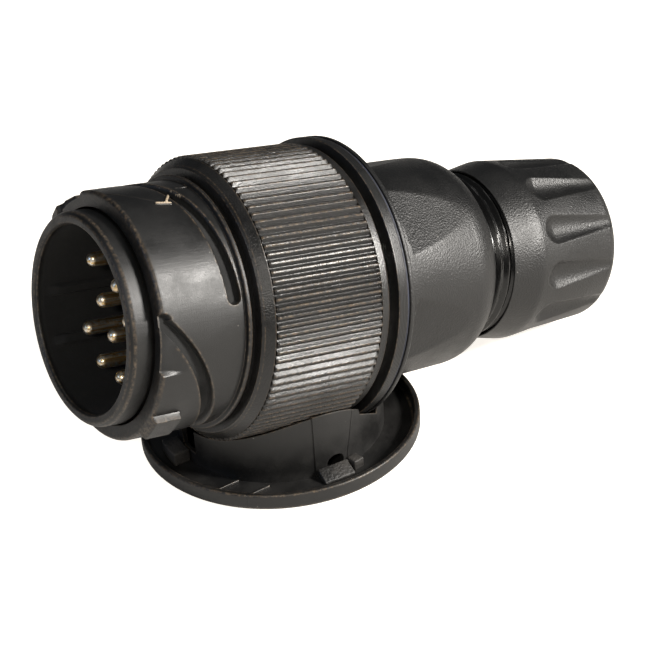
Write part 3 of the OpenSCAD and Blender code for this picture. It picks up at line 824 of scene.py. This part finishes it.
def make_neck():
    root = NECK_R - THREAD_DEPTH
    last = NECK_FRONT + NECK_PITCH * NECK_TURNS
    front, back, shank_r = GLAND_SHANK
    corners = [
        (front, 9, 0), (front, shank_r, 0), (back, shank_r, 0.05), (back, root, 0.1), (last, root, 0.2),
        (last + 0.6, NECK_TAIL_R, 0.2), (NECK_TAIL, NECK_TAIL_R, 0.2),
        (NECK_TAIL, 13, 0.2), (58, 13, 0), (58, 9, 0),
    ]
    fine = lambda s, r: 0.11 if r > root - 0.1 and s > 55.7 else 2.5
    points, faces, wear_and_painted_light = lathe_grid(filled(rounded(corners), fine), turn(240), on_plug, thread_shape)
    new_piece("threaded_neck", points, faces, "rear_shell", ["gland_body"], GLOSSY, wear_and_painted_light)


NUT_S = 61.5
NUT_BAND_END = 68.1
NUT_R = 18.3
NUT_TAIL = (86.9, 16.8, 89.6, 14.6)
CABLE_HOLE_R = 7.6
FLUTES = tuple(-27 + 30 * i for i in range(12))
FLUTE_S = NUT_BAND_END + 4.6
FLUTE_FRONT_R = 4.2
FLUTE_RISE = 2.4  # how far the middle of a flute stands off the nut
FLUTE_TAIL_R = 2.0
FLUTE_LEN = 16.0
FLUTE_LEAN = math.tan(math.radians(8.4))


def flute_shape(s, r, deg):
    """Teardrop flutes, round and deep at the front and fading out behind."""
    behind = np.clip(s - FLUTE_S, 0, FLUTE_LEN)
    ahead = np.clip(FLUTE_S - s, 0, FLUTE_FRONT_R)
    shrink = (FLUTE_FRONT_R - FLUTE_TAIL_R) / FLUTE_LEN
    size = np.sqrt(np.maximum(FLUTE_FRONT_R**2 - ahead**2, 0)) - shrink * behind
    centre = NUT_R + FLUTE_RISE - FLUTE_LEAN * (s - FLUTE_S)
    off = np.radians(np.min([np.abs(wrapped(deg - a)) for a in FLUTES], axis=0))
    inside = size**2 - (centre * np.sin(off)) ** 2
    floor = np.where(inside > 0, centre * np.cos(off) - np.sqrt(np.maximum(inside, 0)), NUT_R + 2)
    outer = (r > 14.9) & (s > NUT_BAND_END)
    cut, crossing = soft_min(r, floor, 0.35)
    cut = np.where(outer, cut, r)
    seam = 0.04 * np.exp(-(((s - NUT_BAND_END) / 0.16) ** 2)) * (r > NUT_R - 0.5)
    return s, cut - seam, deg, np.where(outer, crossing * 0.7, 0)


def make_nut():
    corners = [
        (NUT_S, NECK_R + 0.1, 0.15), (NUT_S, NUT_R - 1.25, 0.35), (NUT_BAND_END, NUT_R, 0.1),
        *quarter(*NUT_TAIL),
        (NUT_TAIL[2], 9.2, 0.3), (NUT_TAIL[2] - 3, CABLE_HOLE_R, 0.3), (80, CABLE_HOLE_R, 0), (80, 14.8, 0),
        (71.2, 14.8, 0), (70.8, NECK_R + 0.1, 0),
    ]
    fine = lambda s, r: 0.2 if r > 14.9 and s > NUT_BAND_END - 1 else 0.5 if r > 16.9 else 2.0
    points, faces, wear_and_painted_light = lathe_grid(filled(rounded(corners), fine), turn(900), on_plug, flute_shape)
    new_piece("fluted_nut", points, faces, "cable_nut", ["gland_nut"], ERODED, wear_and_painted_light)


# ---------------------------------------------------------------- parking cap

FLOOR_T = 1.2
RIM_H = 3.3
RIM_T = 1.1
CRADLE_R = 20.4
CRADLE_WALL = 0.95
TONGUE_FROM = -104.0
SLIT_AZ = -86.0  # where the slit beside the tongue meets the floor
SLIT_W = 0.32
PARTING = -136.0
STOPS = (165, 82, -8)
SADDLE = [  # station and radius of what the cradle makes room for, each with a gap of 0.3
    (-29.6, 22.8), (-4.5, 22.8), (-4.5, 23.7), (-2.5, 23.7), (-2.5, 25.0), (-0.3, 26.8), (25.1, 26.8),
    (25.1, 27.6), (31.45, 27.6), (31.45, 22.3), (32.05, 21.8), (61.5, 21.8),
]


def cap_shape(r, z, deg):
    """Parting line down the rim, where the two halves of the mould met."""
    rim = (r > CAP_R - 0.6) & (z > 0.2)
    seam = np.exp(-((wrapped(deg - PARTING) / 0.22) ** 2))
    return r - rim * 0.12 * seam, z, deg, rim * seam


def make_tray():
    outline = rounded([
        (0, 0.35, 0), (1.4, 0.35, 0.2), (1.7, 0.0, 0.1), (20.6, 0, 0.1), (20.9, 0.3, 0.1), (22.1, 0.3, 0.1),
        (22.4, 0, 0.1),
        (CAP_R - 0.45, 0, 0.2), (CAP_R, 0.5, 0.3), (CAP_R, RIM_H, 0.45), (CAP_R - RIM_T, RIM_H, 0.35),
        (CAP_R - RIM_T - 0.3, FLOOR_T, 0.5), (0, FLOOR_T, 0),
    ], closed=False)
    outline = filled(outline, 0.9, closed=False)

    def place(r, z, deg):
        r, z, deg, _ = cap_shape(r, z, deg)
        return on_cap(r, z, deg)

    tray = lathe_solid(outline, turn(720), place)
    cord_ribs = []
    for y in (-12.2, -17.4):
        x = -math.sqrt((CAP_R - RIM_T) ** 2 - y * y)
        cord_ribs.append(straight_block(x + 0.1, x + 6.2, y, y + 0.5, FLOOR_T - 0.05, FLOOR_T + 0.6, 0.13))
    points, faces, wear_and_painted_light = joined([tray, *cord_ribs])
    new_piece("cap_tray", points, faces, "parking_cap", ["cap_dish"], CAP, wear_and_painted_light)


def eight(x0, x1, y0, y1, z0, z1):
    return [(x, y, z) for z in (z0, z1) for x, y in ((x0, y0), (x1, y0), (x1, y1), (x0, y1))]


def straight_block(x0, x1, y0, y1, z0, z1, bevel):
    def place(p):
        return (CAP_CENTRE + p) * MM

    return block(eight(x0, x1, y0, y1, z0, z1), bevel, place)


def arc_block(r0, r1, z0, z1, a0, a1, bevel=0.28):
    """Block that follows the cap round: its y is arc length at the middle radius."""
    per_deg = math.radians((r0 + r1) / 2)

    def place(p):
        return on_cap(p[:, 0], p[:, 2], p[:, 1] / per_deg)

    return block(eight(r0, r1, a0 * per_deg, a1 * per_deg, z0, z1), bevel, place, cuts=8)


def ramp_block(at, half, r0, r1, z0, z_in, z_out):
    """Sloping block in front of the tongue."""
    out = Vector((math.cos(math.radians(at)), math.sin(math.radians(at)), 0))
    side = Vector((-out.y, out.x, 0))
    corners = [(r0, -half, z0), (r1, -half, z0), (r1, half, z0), (r0, half, z0),
               (r0, -half, z_in), (r1, -half, z_out), (r1, half, z_out), (r0, half, z_in)]

    def place(p):
        return (CAP_CENTRE + p @ np.array([out, side, (0, 0, 1)])) * MM

    return block(corners, 0.25, place)


def make_stops():
    low = FLOOR_T - 0.05
    parts = [arc_block(CRADLE_R + 0.2, CRADLE_R + 3.6, low, 3.9, a, a + 15) for a in STOPS]
    parts.append(arc_block(CRADLE_R + 0.3, CRADLE_R + 2.6, low, 3.2, -85.5, -79.5))
    parts.append(ramp_block(-94.5, 3.2, CRADLE_R + 0.25, CRADLE_R + 3.25, low, FLOOR_T + 1.9, FLOOR_T + 0.5))
    points, faces, wear_and_painted_light = joined(parts)
    new_piece("cap_stops", points, faces, "parking_cap", [], SPECKLED, wear_and_painted_light)


def saddle_height(r, deg):
    """Height at which an upright through a point of the cradle meets the plug that lies in it."""
    stations, radii = np.array(SADDLE).T
    a = np.radians(deg)
    x, y = r * np.cos(a) + CAP_CENTRE[0], r * np.sin(a) + CAP_CENTRE[1]
    top = np.full_like(x, 18.0)
    for z in np.arange(18.0, FLOOR_T, -0.02):
        p = np.stack([x, y, np.full_like(x, z)], -1) - KNURL_FRONT
        s = p @ AXIS
        out = np.hypot(p @ UP, p @ SIDE)
        top = np.where(out < np.interp(s, stations, radii), z, top)
    return top


def slit_lean(z, deg):
    """How far the slit has leant back at a height, in degrees, fading out along the wall."""
    lean = np.degrees((z - FLOOR_T) * math.tan(math.radians(TILT)) / CRADLE_R)
    return lean * (1 - smooth(np.abs(wrapped(deg - SLIT_AZ)), 0.0, 14.0))


def wall(r_out, thick, angles, bottom):
    """Upright curved wall under the plug, soft along its top, closed at both ends, leaning along the slit."""
    deg = np.asarray(angles, float)
    base = bottom(deg)
    tops = []
    for r in (r_out - thick, r_out):
        top = saddle_height(np.full_like(deg, r), deg)
        for _ in range(3):
            top = saddle_height(np.full_like(deg, r), deg + slit_lean(top, deg))
        notched = np.abs(wrapped(deg - NOTCH[0])) < NOTCH[1]
        tops.append(np.where(notched, np.minimum(top, NOTCH[2]), top))
    rows, wear_and_painted_light = [], []

    def row(side, share, inset, drop, weight=0.0):
        r = r_out - inset if side else r_out - thick + inset
        rows.append((np.full_like(deg, r), base + share * (tops[side] - base) - drop))
        wear_and_painted_light.append(np.full_like(deg, weight))

    edge = ((0, 0.3, 0), (0, 0.2, 0), (0.06, 0.07, 1), (0.2, 0.02, 0))
    for share in (0, 0.25, 0.5, 0.75):
        row(1, share, 0, 0)
    for inset, drop, weight in edge:
        row(1, 1, inset, drop, weight)
    for inset, drop, weight in reversed(edge):
        row(0, 1, inset, drop, weight)
    for share in (0.75, 0.5, 0.25, 0):
        row(0, share, 0, 0)
    r, z = (np.array([p[k] for p in rows]) for k in (0, 1))
    d = np.repeat(deg[None, :], len(rows), 0)
    points = on_cap(r, z, d + slit_lean(z, d)).reshape(-1, 3)
    faces = grid_faces(*d.shape, True, False)
    columns = len(deg)
    faces.append([i * columns for i in range(len(rows))])
    faces.append([i * columns + columns - 1 for i in reversed(range(len(rows)))])
    return points, faces, np.array(wear_and_painted_light).ravel()


NOTCH = (178.5, 6.8, 3.6)  # middle, half width and height of the notch at the front
ARCH = (-93.0, 4.6, 1.7)  # middle, half width and rise of the arch under the tongue
ARCH_FOOT = 2.0  # height at which the arch starts to curve


def make_cradle():
    edges = [NOTCH[0] + side * NOTCH[1] + nudge for side in (-1, 1) for nudge in (-0.01, 0.01)]
    half_slit = math.degrees(SLIT_W / 2 / CRADLE_R)
    angles = np.sort(np.concatenate([np.linspace(SLIT_AZ + half_slit, TONGUE_FROM + 360, 460), edges]))
    points, faces, wear_and_painted_light = wall(CRADLE_R, CRADLE_WALL, angles, lambda deg: np.full_like(deg, FLOOR_T - 0.05))
    new_piece("cap_cradle_wall", points, faces, "parking_cap", ["cap_cradle"], CAP, wear_and_painted_light)


def make_tongue():
    def bottom(deg):
        off = (deg - ARCH[0]) / ARCH[1]
        arch = ARCH_FOOT + ARCH[2] * np.sqrt(np.maximum(0, 1 - off**2))
        return FLOOR_T - 0.05 + np.where(np.abs(off) < 1, arch, 0)

    edges = [ARCH[0] + side * ARCH[1] + nudge for side in (-1, 1) for nudge in (-0.01, 0.01)]
    half_slit = math.degrees(SLIT_W / 2 / CRADLE_R)
    angles = np.sort(np.concatenate([np.linspace(TONGUE_FROM, SLIT_AZ - half_slit, 70), edges]))
    points, faces, wear_and_painted_light = wall(CRADLE_R + 0.2, CRADLE_WALL, angles, bottom)
    new_piece("cap_tongue", points, faces, "parking_cap", ["cap_latch_tongue"], CAP, wear_and_painted_light)


# ---------------------------------------------------------------- carried-over CAD nodes

CARRIED = {
    "mouth_seal": RUBBER, "sleeve_o_ring": RUBBER, "housing_o_ring": RUBBER, "gland_seal": RUBBER,
    "sleeve_circlip": STEEL, "wave_spring": STEEL, "thrust_washer": STEEL, "terminal_screws": STEEL,
    "cable_clamp_screws": STEEL, "terminal_barrels": BRASS, "cable_clamp_bridge": NICKEL,
    "cable_clamp_yoke": INSERT, "clamping_collet": INSERT,
}


def dress_carried():
    for node, material in CARRIED.items():
        mesh = frame["nodes"][node].data
        mesh.materials.clear()
        mesh.materials.append(material)


# ---------------------------------------------------------------- stage, lights and camera

CAMERA_AZ, CAMERA_EL, CAMERA_ROLL = -32.208, 30.665, -4.185
CAMERA_LENS = 100.9
CAMERA_AWAY = 353.54
CAMERA_AIM = (12.189, 1.216, 18.69)


def look_basis(azimuth, elevation, roll):
    """Right, up and forward of a camera that looks from an azimuth and elevation."""
    az, el, tip = (math.radians(v) for v in (azimuth, elevation, roll))
    forward = Vector((-math.sin(az) * math.cos(el), math.cos(az) * math.cos(el), -math.sin(el)))
    right = forward.cross(Vector((0, 0, 1))).normalized()
    up = right.cross(forward)
    return right * math.cos(tip) + up * math.sin(tip), up * math.cos(tip) - right * math.sin(tip), forward


def aimed(obj, right, up, forward, place):
    turn_matrix = Matrix((right, up, -forward)).transposed().to_4x4()
    obj.matrix_world = Matrix.Translation(place) @ turn_matrix
    bpy.context.scene.collection.objects.link(obj)


def make_camera():
    data = bpy.data.cameras.new("photo_camera")
    data.lens = CAMERA_LENS
    data.sensor_width = 36
    data.clip_start = 0.01
    camera = bpy.data.objects.new("photo_camera", data)
    right, up, forward = look_basis(CAMERA_AZ, CAMERA_EL, CAMERA_ROLL)
    aimed(camera, right, up, forward, Vector(CAMERA_AIM) * MM - forward * CAMERA_AWAY * MM)
    bpy.context.scene.camera = camera


def area_light(name, azimuth, elevation, away, size, power, colour):
    """Soft light that points at the object from an azimuth and elevation."""
    data = bpy.data.lights.new(name, "AREA")
    data.shape = "DISK"
    data.size = size
    data.energy = power
    data.color = colour
    light = bpy.data.objects.new(name, data)
    right, up, forward = look_basis(azimuth, elevation, 0)
    aimed(light, right, up, forward, Vector(CAMERA_AIM) * MM - forward * away)


def make_stage():
    size = 3.0
    mesh = bpy.data.meshes.new("floor")
    corners = [(-size, -size, 0), (size, -size, 0), (size, size, 0), (-size, size, 0)]
    mesh.from_pydata(corners, [], [(0, 1, 2, 3)])
    f = Finish("pale_floor")
    f.colour(f.colour_mix(f.ranged(f.noise(60, 3, 0.5), 0.3, 0.7), (0.62, 0.6, 0.57), (0.66, 0.64, 0.61)))
    f.shader.inputs["Roughness"].default_value = 0.9
    f.shader.inputs["Emission Color"].default_value = (1.0, 0.95, 0.88, 1)
    seen = f.add("ShaderNodeLightPath").outputs["Is Camera Ray"]
    f.link(f.ranged(seen, 0, 1, 0.12, 0.95), f.shader.inputs["Emission Strength"])
    mesh.materials.append(f.material)
    floor = bpy.data.objects.new("floor", mesh)
    bpy.context.scene.collection.objects.link(floor)


def make_world():
    world = bpy.data.worlds.new("soft_room")
    bpy.context.scene.world = world
    world.use_nodes = True
    tree = world.node_tree
    room = tree.nodes["Background"]
    room.inputs["Color"].default_value = (0.86, 0.93, 1.0, 1)
    room.inputs["Strength"].default_value = 0.06
    backdrop = tree.nodes.new("ShaderNodeBackground")
    backdrop.inputs["Color"].default_value = (1, 1, 1, 1)
    seen = tree.nodes.new("ShaderNodeLightPath").outputs["Is Camera Ray"]
    mix = tree.nodes.new("ShaderNodeMixShader")
    tree.links.new(seen, mix.inputs["Fac"])
    tree.links.new(room.outputs[0], mix.inputs[1])
    tree.links.new(backdrop.outputs[0], mix.inputs[2])
    tree.links.new(mix.outputs[0], tree.nodes["World Output"].inputs["Surface"])


def make_lights():
    area_light("key", 37, 31, 0.75, 0.14, 13.5, (1.0, 0.965, 0.915))
    area_light("front", -42, 34, 0.75, 0.08, 2.0, (1.0, 0.95, 0.87))
    area_light("window", -95, 25, 0.8, 0.18, 0.7, (0.45, 0.65, 1.0))
    area_light("overhead", 150, 72, 1.0, 0.7, 1.0, (1.0, 0.98, 0.95))


make_housing()
make_pins("outer_pins", "outer_contact_pins", OUTER_SEATS)
make_pins("inner_pins", "inner_contact_pins", INNER_SEATS)
make_insert()
make_sleeve()
make_grip()
make_gasket()
make_rear_shell()
make_neck()
make_nut()
make_tray()
make_stops()
make_cradle()
make_tongue()
dress_carried()
make_stage()
make_world()
make_lights()
make_camera()
bpy.context.scene.view_settings.view_transform = "Standard"
